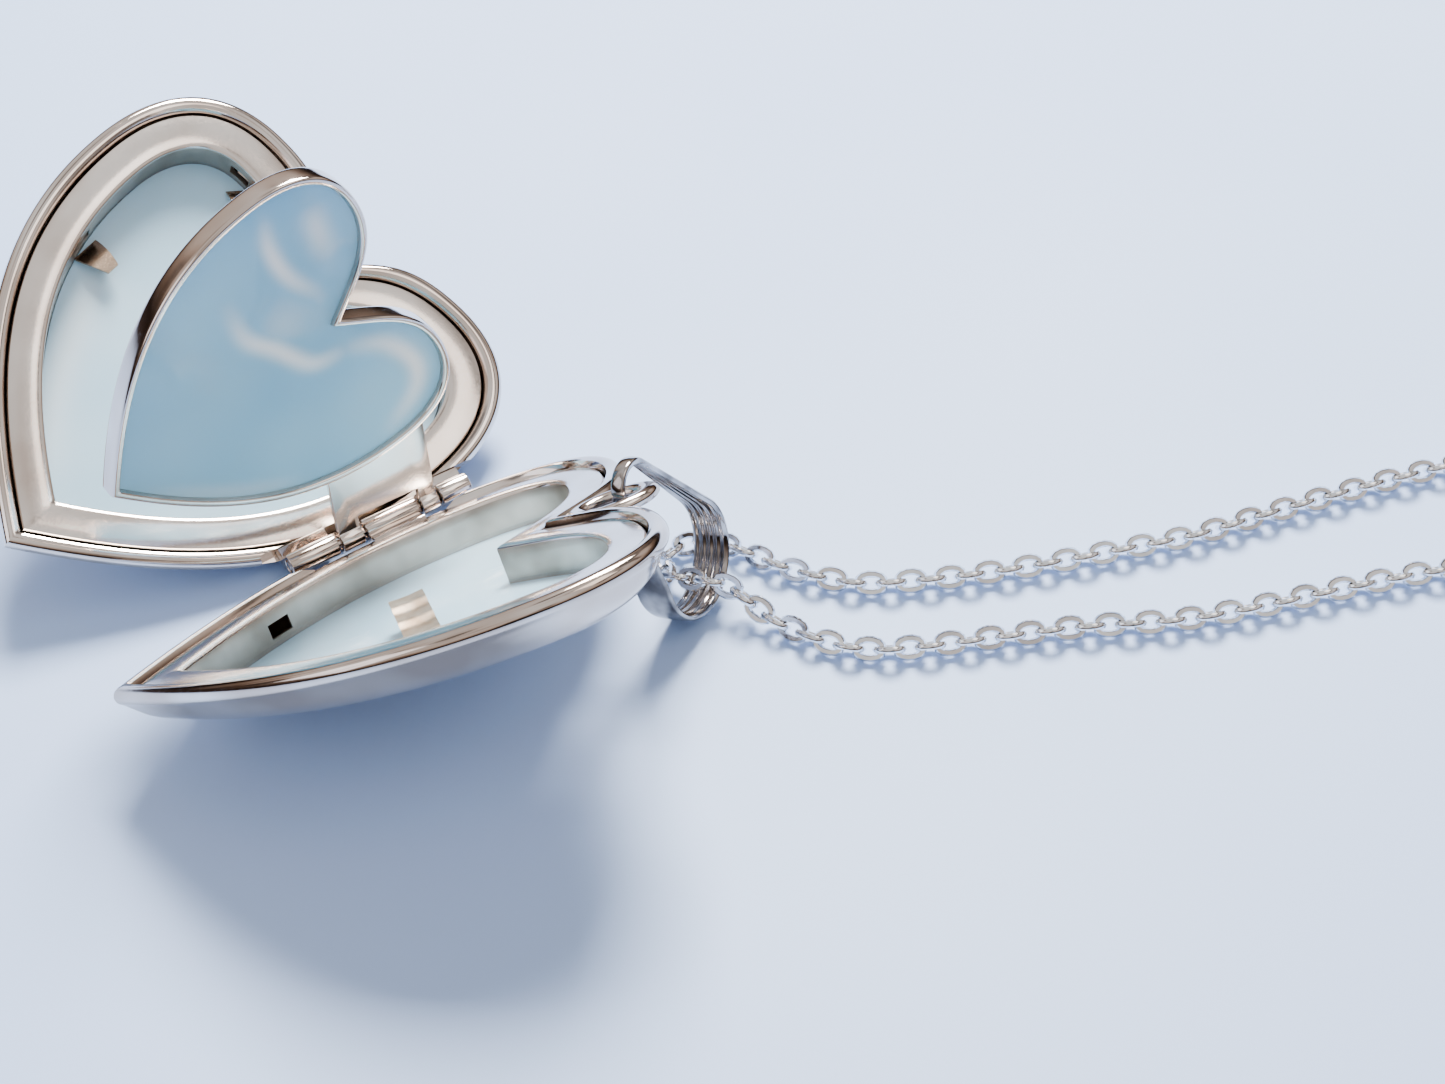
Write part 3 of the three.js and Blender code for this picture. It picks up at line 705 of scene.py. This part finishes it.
def spring_strip(rows=61, columns=9):
    """Height by length from the pressed steps; a sagging middle across the width."""
    u = np.linspace(0, strip_steps[-1][0], rows)
    rise = np.interp(u, *np.array(strip_steps).T)
    kernel = np.hanning(7) / np.hanning(7).sum()
    rise = np.convolve(np.pad(rise, 3, "edge"), kernel, "valid")
    v = np.linspace(0, strip_width, columns)
    heading = strip_turn - math.pi / 2
    ahead = np.array([math.cos(heading), math.sin(heading)])
    beside = np.array([-ahead[1], ahead[0]])
    flat = np.array(strip_start) + u[:, None, None] * ahead + v[None, :, None] * beside
    sag = 0.05 * np.sin(math.pi * v / strip_width)
    level = window_top + 0.1 + rise[:, None] - sag[None, :]
    top = np.concatenate([flat, (level + 0.18)[..., None]], -1)
    under = np.concatenate([flat, level[..., None]], -1)
    loop = np.concatenate([top, under[:, ::-1]], 1)
    points = settle(loop, FRONT).reshape(-1, 3)
    count = 2 * columns
    quads = grid_faces(rows, count, False, True)
    ends = [list(range(count))[::-1], [(rows - 1) * count + k for k in range(count)]]
    return piece("spring_strip", points, closed_faces(points, quads, ends), "front")


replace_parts(dress(spring_strip(), matt_nickel), "front_spring_tab")

# %% [markdown]
# ## The leaf
# One rounded band holds two windows, back to back.  The band's section is a rounded
# rectangle: a superellipse, whose power makes its sides flat and its corners soft.

# %% Leaf
leaf_inset, leaf_band, leaf_drop = 1.5, 0.606, 0.87


def leaf_heart(inset):
    """The leaf's outline, with its deeper cleft."""
    return heart(inset, drop=leaf_drop)


def band(name, outer, inner, half, power=0.45):
    """Section: inset and level go by signed powers of cosine and sine round a loop."""
    a = np.linspace(0, 2 * math.pi, 28, endpoint=False)
    across = np.sign(np.cos(a)) * np.abs(np.cos(a)) ** power
    up = np.sign(np.sin(a)) * np.abs(np.sin(a)) ** power
    insets = (outer + inner) / 2 - (inner - outer) / 2 * across
    rings = [(leaf_heart(inset), half * h) for inset, h in zip(insets, up)]
    return stack_piece(name, rings, to_leaf, LEAF, "leaf", looped=True)


leaf_rim = dress(band("leaf_rim", leaf_inset, leaf_inset + leaf_band, 0.7), rhodium)
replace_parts(leaf_rim, "leaf_frame")
edge = leaf_inset + leaf_band + 0.02
leaf_pad = sheet_heart(
    "leaf_card", leaf_heart(edge), (-0.36, 0.36), to_leaf, LEAF, "leaf", 0.03,
)
# Painted highlights: white streaks along these crest lines of the leaf's film, painted into the
# card's colour.
paint_highlight_streaks(leaf_pad, to_leaf, LEAF, [
    (0.45, 1.0, [(-10.6, 20.9), (-8.2, 20.2), (-5.4, 20.3), (-2.6, 21.5)]),
    (0.7, 0.75, [(-9.3, 24.2), (-7.2, 23.7), (-4.5, 23.3)]),
    (0.5, 1.0, [(-6.3, 15.6), (-3.5, 15.5), (-1.1, 16.8), (1.8, 18.4), (2.6, 20.9)]),
    (0.55, 1.0, [(2.4, 20.8), (4.4, 23.4), (7.3, 24.5), (9.5, 23.6), (11, 20.6)]),
    (1.3, 0.35, [(-4.2, 17.4), (-2.6, 18.2), (-1, 17.6)]),
    (0.5, 0.3, [(1.6, 3.6), (6.6, 8.6), (9.8, 13)]),
])
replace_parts(dress(leaf_pad, sky_card), "leaf_photo_card")
for name, levels in (("front", (0.4, 0.56)), ("back", (-0.56, -0.4))):
    pane = sheet_heart(
        f"leaf_film_{name}", leaf_heart(edge), levels, to_leaf, LEAF, "leaf", 0.06,
    )
    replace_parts(dress(pane, film), f"leaf_window_{name}")
print("leaf done")

# %% [markdown]
# ## Hinge barrels, leaf plate and clasp
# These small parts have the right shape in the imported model, but sharp edges.  Real
# ones were tumbled, so a merged copy of each gets a fine bevel.

# %% Tumbled copies
def tumbled(node_name, name, body, finish, width_mm, angle=40):
    """A welded copy of a node, flat faces rejoined, its edges bevelled, shaded smooth."""
    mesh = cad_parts[node_name].data.copy()
    mesh.name = name
    work = bmesh.new()
    work.from_mesh(mesh)
    bmesh.ops.remove_doubles(work, verts=work.verts, dist=0.002 * MM)
    bmesh.ops.dissolve_limit(work, angle_limit=math.radians(1), verts=work.verts, edges=work.edges)
    work.to_mesh(mesh)
    work.free()
    obj = bpy.data.objects.new(name, mesh)
    bpy.context.scene.collection.objects.link(obj)
    edge_round = obj.modifiers.new("tumbled_edges", "BEVEL")
    edge_round.width = width_mm * MM
    edge_round.segments = 3
    edge_round.limit_method = "ANGLE"
    edge_round.angle_limit = math.radians(angle)
    seen = obj.evaluated_get(bpy.context.evaluated_depsgraph_get())
    done = bpy.data.meshes.new_from_object(seen)
    obj.modifiers.clear()
    obj.data = done
    done.shade_smooth()
    done.set_sharp_from_angle(angle=math.radians(24))
    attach(obj, body)
    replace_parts(obj, node_name)
    return dress(obj, finish)


for node_name, name, body, slot, finish, width in (
    ("front_knuckle", "barrel_front", "front", "polished_silver", rhodium, 0.07),
    ("back_knuckle_left", "barrel_back_tip", "back", "polished_silver", rhodium, 0.07),
    ("back_knuckle_right", "barrel_back_lobe", "back", "polished_silver", rhodium, 0.07),
    ("hinge_pin", "pin", "back", "polished_silver", rhodium, 0.05),
    ("leaf_hinge_plate", "leaf_plate", "leaf", "satin_steel", satin, 0.06),
    ("clasp_body", "hook", "front", "polished_silver", rhodium, 0.22),
    ("clasp_lever", "lever", "clasp_lever", "polished_silver", rhodium, 0.12),
    ("clasp_rivet", "rivet", "front", "polished_silver", rhodium, 0.08),
):
    made = tumbled(node_name, name, body, finish, width)
    print(name, len(made.data.polygons), "faces")

# %% [markdown]
# ## Rings
# A ring is one circle carried round another.  The ring in the cleft is an oval, so
# its long way is stretched.

# %% Rings
def ring_piece(name, centre, axis_a, axis_b, radius, wire, body, stretch=1.0, rows=64):
    """Torus: a big circle in axes a and b, stretched along b, and a small one across it."""
    a, b = np.array(axis_a, float), np.array(axis_b, float)
    up = np.cross(a, b)
    u = np.linspace(0, 2 * math.pi, rows, endpoint=False)[:, None, None]
    v = np.linspace(0, 2 * math.pi, 16, endpoint=False)[None, :, None]
    reach = radius + wire * np.cos(v)
    points = np.array(centre) + reach * np.cos(u) * a + stretch * reach * np.sin(u) * b
    points = points + wire * np.sin(v) * up
    flat_points = points.reshape(-1, 3)
    faces = grid_faces(rows, 16, True, True)
    made = piece(name, flat_points, outward(flat_points, faces), body)
    return dress(made, rhodium)


across_heart = np.array([math.sin(flank_angle), -math.cos(flank_angle)])
up_heart = np.array([math.cos(flank_angle), math.sin(flank_angle)])
ring_place = to_hinge(np.array([[0.0, 26.85]]))[0]
ring_centre = settle(np.array([*ring_place, -0.6]), FRONT)
ring_a = across_heart[0] * along_pin + across_heart[1] * front_t
ring_b = up_heart[0] * along_pin + up_heart[1] * front_t
oval = ring_piece("cleft_ring", ring_centre, ring_a, ring_b, 1.4, 0.38, "front", 1.45)
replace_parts(oval, "bail_ring")


def flat_ring(name, node_name, radius, wire):
    """A ring that lies flat, in the middle of its node's box."""
    low, high = (np.array(c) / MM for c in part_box(node_name))
    made = ring_piece(name, (low + high) / 2, (1, 0, 0), (0, 1, 0), radius, wire, "front")
    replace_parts(made, node_name)
    return made


clasp_loop = flat_ring("hook_ring", "clasp_ring", 1.05, 0.3)
chain_end = flat_ring("chain_end_ring", "end_ring", 1.6, 0.35)

# %% [markdown]
# ## The bail
# A ribbon of metal is bent into a drop: narrow over the ring, wide and round below.
# Its outline is two arcs and the two lines that touch both.  Across the ribbon, the
# outside is a little crowned and the inside is fluted.

# %% Bail
bail_top = hinge + [8.35, -12.9, 9.95]
bail_down = np.array([0.276, -0.134, -0.952])
bail_down /= np.linalg.norm(bail_down)
bail_across = np.array([0.863, 0.505, 0.0])
bail_across -= bail_down * (bail_across @ bail_down)
bail_across /= np.linalg.norm(bail_across)
bail_axis = np.cross(bail_across, bail_down)
upper = (np.array([-0.8, 1.5]), 1.5)
lower = (np.array([0.0, 8.1]), 3.4)


def drop_outline(count=150):
    """Two arcs joined by their outer tangents, stepped evenly; returns points and outward normals."""
    gap = lower[0] - upper[0]
    heading = math.atan2(gap[1], gap[0])
    side = math.acos((upper[1] - lower[1]) / np.linalg.norm(gap))
    a = np.linspace(heading - side, heading + side, 90)
    b = np.linspace(heading + side, heading + 2 * math.pi - side, 50)
    ring = np.concatenate([
        lower[0] + lower[1] * np.c_[np.cos(a), np.sin(a)],
        upper[0] + upper[1] * np.c_[np.cos(b), np.sin(b)],
    ])
    closed = np.concatenate([ring, ring[:1]])
    run = np.r_[0, np.cumsum(np.linalg.norm(np.diff(closed, axis=0), axis=1))]
    at = np.linspace(0, run[-1], count, endpoint=False)
    even = np.stack([np.interp(at, run, closed[:, k]) for k in (0, 1)], -1)
    ahead = np.roll(even, -1, 0) - np.roll(even, 1, 0)
    ahead /= np.linalg.norm(ahead, axis=1, keepdims=True)
    return even, np.stack([ahead[:, 1], -ahead[:, 0]], -1)


def bail_ribbon(thickness=0.4, flutes=5):
    """Section: crowned outside, fluted inside, rounded edges; width grows from top to bottom."""
    outline, normal = drop_outline()
    v = np.linspace(-1, 1, 41)
    out_depth = 0.05 * v**2 + 0.12 * np.abs(v) ** 12
    flute = 0.5 + 0.5 * np.cos(math.pi * flutes * (v + 1))
    in_depth = thickness - 0.08 * flute - 0.12 * np.abs(v) ** 12
    v_loop = np.concatenate([v, v[::-1]])
    depth = np.concatenate([out_depth, in_depth[::-1]])
    share = np.clip((outline[:, 1] - 1) / 6, 0, 1)
    half = (0.8 + (2.2 - 0.8) * share) / 2
    flat = outline[:, None, :] - normal[:, None, :] * depth[None, :, None]
    points = bail_top + flat[..., :1] * bail_across + flat[..., 1:] * bail_down
    points = points + (half[:, None] * v_loop[None, :])[..., None] * bail_axis
    rows, columns = points.shape[:2]
    block = points.reshape(-1, 3)
    faces = outward(block, grid_faces(rows, columns, True, True))
    return dress(piece("ribbon_bail", block, faces, "bail", 50), bail_plate)


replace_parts(bail_ribbon(), "bail")

# %% [markdown]
# ## The chain
# A cable chain is one oval link, turned a quarter each time.  Every link is placed
# along a smooth route, one pitch on from the last.  The part out of sight lies in a
# flat coil, three turns on three, with a lobster clasp on its end.

# %% Chain routes
rest_height = 0.72


def row_mm(points):
    """Route points, given from the hinge with a height above the lying chain, to row mm."""
    p = np.array(points, float)
    return np.c_[p[:, 0] + hinge[0], p[:, 1] + hinge[1], p[:, 2] + rest_height]


long_strand = row_mm([
    (10.75, -13, 0.55), (11.2, -13.9, 0.8), (11.75, -14.85, 1.05), (12.3, -15.8, 1.1),
    (12.8, -16.9, 0.65), (13.3, -18.3, 0.15), (14.1, -20.1, 0), (15.1, -21.9, 0),
    (16.6, -23.4, 0), (18.4, -24.5, 0), (22.2, -26.4, 0), (26.2, -28.4, 0), (31, -31.2, 0),
    (35, -32.9, 0), (39.2, -34.4, 0), (44, -36.3, 0), (49.9, -39.2, 0),
])
short_strand = row_mm([
    (10.6, -12.35, 0.35), (10.95, -11.45, 0.1), (12, -10.85, 0), (13.35, -10.95, 0),
    (14.5, -11.9, 0), (15.3, -13.4, 0), (16.1, -15.2, 0), (17.35, -17.2, 0),
    (18.9, -18.95, 0), (20.5, -20, 0), (24, -21.9, 0), (28, -23.7, 0), (31.8, -25.2, 0),
    (35.8, -26.7, 0), (39.8, -27.7, 0), (44, -28.8, 0), (48.2, -30, 0), (52.5, -31.4, 0),
    (56.5, -33.2, 0), (59.6, -35.4, 0),
])
tail = row_mm([(59.9, -52, 0.95), (60.7, -53.3, 0.5), (61.5, -54.5, 0.2), (62.3, -55.7, 0.1)])


def coil_turns(centre=(50.3, -49.2), radii=(8.15, 6.65, 5.2), lift=1.45, start=60.0, leave=43.0):
    """Turns at constant radius; the last sixth of each moves to the next radius or level."""
    order = [*radii, *radii[::-1], radii[0]]
    level = [0, 0, 0, lift, lift, lift, lift]
    points = []
    for turn in range(6):
        a = np.arange(0, 360, 15.0)
        ease = np.clip((a - 300) / 60, 0, 1)
        r = order[turn] + (order[turn + 1] - order[turn]) * ease
        z = level[turn] + (level[turn + 1] - level[turn]) * ease
        angle = np.radians(start - a)
        points.append(np.c_[centre[0] + r * np.cos(angle), centre[1] + r * np.sin(angle), z])
    angle = np.radians(start - np.array([0, 15.0, 30.0, leave]))
    points.append(np.c_[centre[0] + radii[0] * np.cos(angle), centre[1] + radii[0] * np.sin(angle),
                        np.full(4, lift)])
    return row_mm(np.concatenate(points))


def even_route(points, step):
    """Centripetal Catmull-Rom through the points, stepped evenly along its length."""
    p = np.concatenate([2 * points[:1] - points[1:2], points, 2 * points[-1:] - points[-2:-1]])
    knots = np.r_[0, np.cumsum(np.linalg.norm(np.diff(p, axis=0), axis=1) ** 0.5)]
    rows = []
    for k in range(1, len(p) - 2):
        t0, t1, t2, t3 = knots[k - 1:k + 3]
        t = np.linspace(t1, t2, 24, endpoint=False)[:, None]
        a = (t1 - t) / (t1 - t0) * p[k - 1] + (t - t0) / (t1 - t0) * p[k]
        b = (t2 - t) / (t2 - t1) * p[k] + (t - t1) / (t2 - t1) * p[k + 1]
        c = (t3 - t) / (t3 - t2) * p[k + 1] + (t - t2) / (t3 - t2) * p[k + 2]
        d = (t2 - t) / (t2 - t0) * a + (t - t0) / (t2 - t0) * b
        e = (t3 - t) / (t3 - t1) * b + (t - t1) / (t3 - t1) * c
        rows.append((t2 - t) / (t2 - t1) * d + (t - t1) / (t2 - t1) * e)
    fine = np.concatenate([*rows, points[-1:]])
    run = np.r_[0, np.cumsum(np.linalg.norm(np.diff(fine, axis=0), axis=1))]
    at = np.arange(0, run[-1], step)
    return np.stack([np.interp(at, run, fine[:, k]) for k in range(3)], -1), run[-1]


# %% Chain links
link_pitch, link_long, link_wide, link_wire = 1.075, 1.86, 1.4, 0.4
steps_round_link, steps_round_wire = 14, 6


def chain_of_links(name, route, body):
    """Every link: an oval of wire in the plane of the route's direction and a side way,
    the side way turned 90 degrees from link to link."""
    centres, length = even_route(route, link_pitch)
    ahead = np.gradient(centres, axis=0)
    ahead /= np.linalg.norm(ahead, axis=1, keepdims=True)
    level = np.cross(ahead, [0, 0, 1.0])
    level /= np.linalg.norm(level, axis=1, keepdims=True)
    rise = np.cross(level, ahead)
    turn = np.radians(np.where(np.arange(len(centres)) % 2 == 0, 42.0, -48.0))[:, None]
    side = np.cos(turn) * level + np.sin(turn) * rise
    off = -np.sin(turn) * level + np.cos(turn) * rise
    u = np.linspace(0, 2 * math.pi, steps_round_link, endpoint=False)
    v = np.linspace(0, 2 * math.pi, steps_round_wire, endpoint=False)
    u, v = (g.ravel() for g in np.meshgrid(u, v, indexing="ij"))
    half_long, half_wide = (link_long - link_wire) / 2, (link_wide - link_wire) / 2
    wire = link_wire / 2
    x = (half_long + wire * np.cos(v)) * np.cos(u)
    y = (half_wide + wire * np.cos(v)) * np.sign(np.sin(u)) * np.abs(np.sin(u)) ** 0.8
    z = wire * np.sin(v)
    points = (centres[:, None] + x[None, :, None] * ahead[:, None]
              + y[None, :, None] * side[:, None] + z[None, :, None] * off[:, None])
    one = outward(points[0], grid_faces(steps_round_link, steps_round_wire, True, True))
    first = np.arange(len(centres)) * steps_round_link * steps_round_wire
    faces = (one[None] + first[:, None, None]).reshape(-1, 4)
    made = piece(name, points.reshape(-1, 3), faces, body, 60)
    line, _ = even_route(route, 0.5)
    print(name, len(centres), "links,", round(length, 1), "mm")
    return dress(made, cut_silver), line, length


short_chain, short_line, short_length = chain_of_links("chain_to_ring", short_strand, "front")
whole_route = np.concatenate([long_strand, coil_turns(), tail])
long_chain, long_line, long_length = chain_of_links("chain_to_clasp", whole_route, "front")
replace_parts(short_chain, "chain_short")
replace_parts(long_chain, "chain_long", "chain_coil", "chain_tail")
